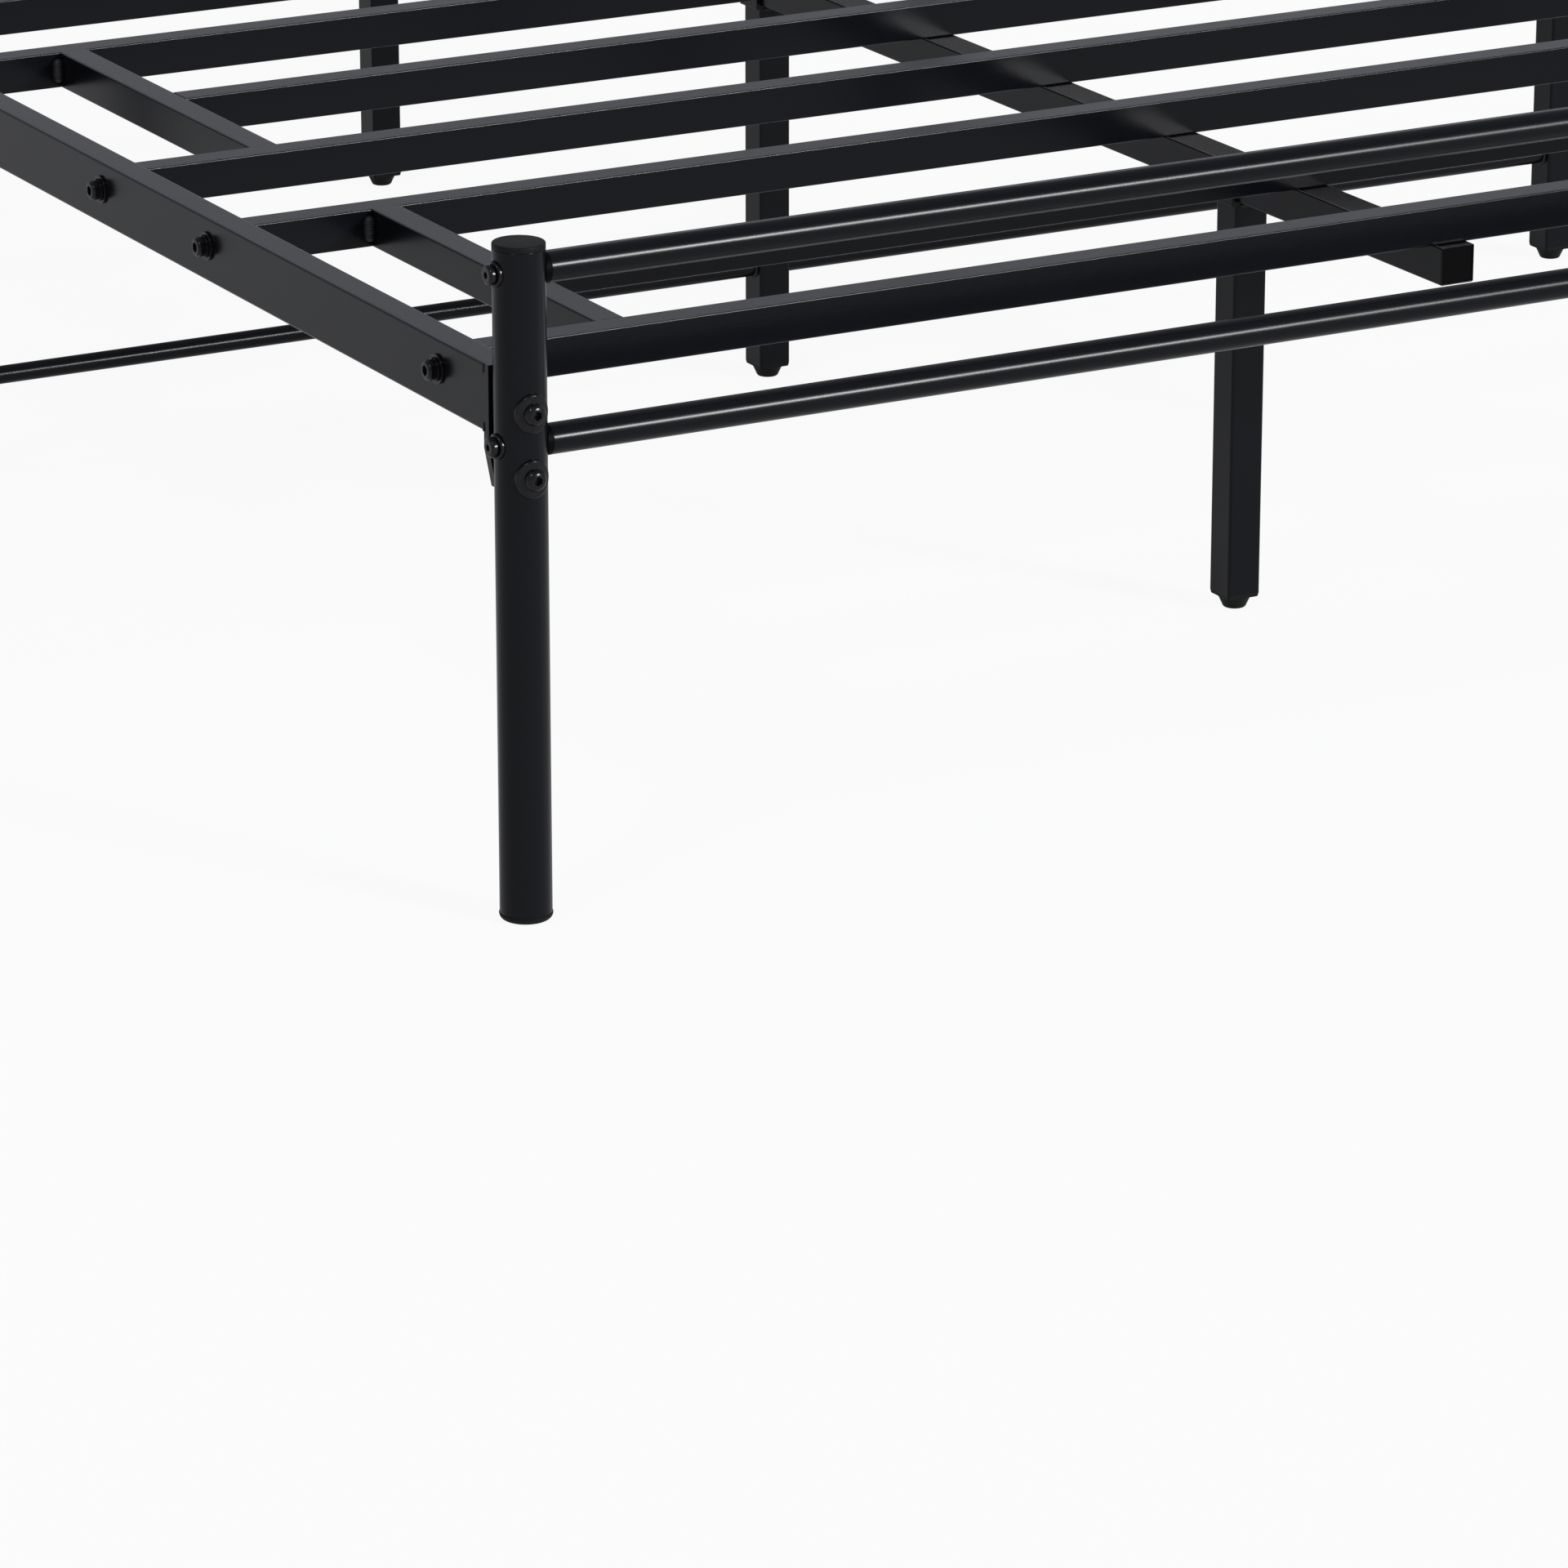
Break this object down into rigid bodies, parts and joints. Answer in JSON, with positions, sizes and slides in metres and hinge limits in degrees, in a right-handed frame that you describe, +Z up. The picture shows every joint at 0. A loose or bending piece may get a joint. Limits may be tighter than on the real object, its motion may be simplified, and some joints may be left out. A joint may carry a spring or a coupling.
{
  "type": "metal bed frame",
  "caption": "Black steel tube bed frame: round posts with low foot bars, a barred head end, bolted side rails, a deck of welded slat panels and a centre rail on square legs.",
  "frame": {"origin": "on the floor under the middle of the bed", "axes": "+X to the right seen from the foot, +Y from foot to head, +Z up"},
  "size_m": [1.454, 2.0052, 0.88],
  "materials": {
    "black_paint": "satin powder coat",
    "bolt_black": "glossy black plating",
    "black_plastic": "moulded, slightly rough"
  },
  "bodies": {
    "root": {"bar_bolts": "bolt_black", "bar_end_nuts": "bolt_black", "bar_washers": "bolt_black", "centre_leg_foot": "black_paint", "centre_leg_head": "black_paint", "centre_leg_middle": "black_paint", "centre_rail": "black_paint", "centre_rail_plugs": "black_plastic", "foot_bar_lower": "black_paint", "foot_bar_upper": "black_paint", "foot_post_left": "black_paint", "foot_post_right": "black_paint", "head_bar_1": "black_paint", "head_bar_2": "black_paint", "head_bar_3": "black_paint", "head_bar_4": "black_paint", "head_post_left": "black_paint", "head_post_right": "black_paint", "leg_feet": "black_plastic", "leg_saddles": "black_paint", "panel_1_side_piece_left": "black_paint", "panel_1_side_piece_right": "black_paint", "panel_1_slat_1": "black_paint", "panel_1_slat_2": "black_paint", "panel_1_slat_3": "black_paint", "panel_2_side_piece_left": "black_paint", "panel_2_side_piece_right": "black_paint", "panel_2_slat_1": "black_paint", "panel_2_slat_2": "black_paint", "panel_2_slat_3": "black_paint", "panel_3_side_piece_left": "black_paint", "panel_3_side_piece_right": "black_paint", "panel_3_slat_1": "black_paint", "panel_3_slat_2": "black_paint", "panel_3_slat_3": "black_paint", "panel_4_side_piece_left": "black_paint", "panel_4_side_piece_right": "black_paint", "panel_4_slat_1": "black_paint", "panel_4_slat_2": "black_paint", "panel_4_slat_3": "black_paint", "plate_bolts": "bolt_black", "plate_washers": "bolt_black", "post_caps": "black_plastic", "post_feet": "black_plastic", "rail_end_plate_foot_left": "black_paint", "rail_end_plate_foot_right": "black_paint", "rail_end_plate_head_left": "black_paint", "rail_end_plate_head_right": "black_paint", "side_leg_left": "black_paint", "side_leg_right": "black_paint", "side_rail_left": "black_paint", "side_rail_right": "black_paint", "slat_end_nuts": "bolt_black", "slat_flat_washers": "bolt_black", "slat_screws": "bolt_black", "slat_spring_washers": "bolt_black", "stretcher_left": "black_paint", "stretcher_right": "black_paint"}
  },
  "joints": []
}
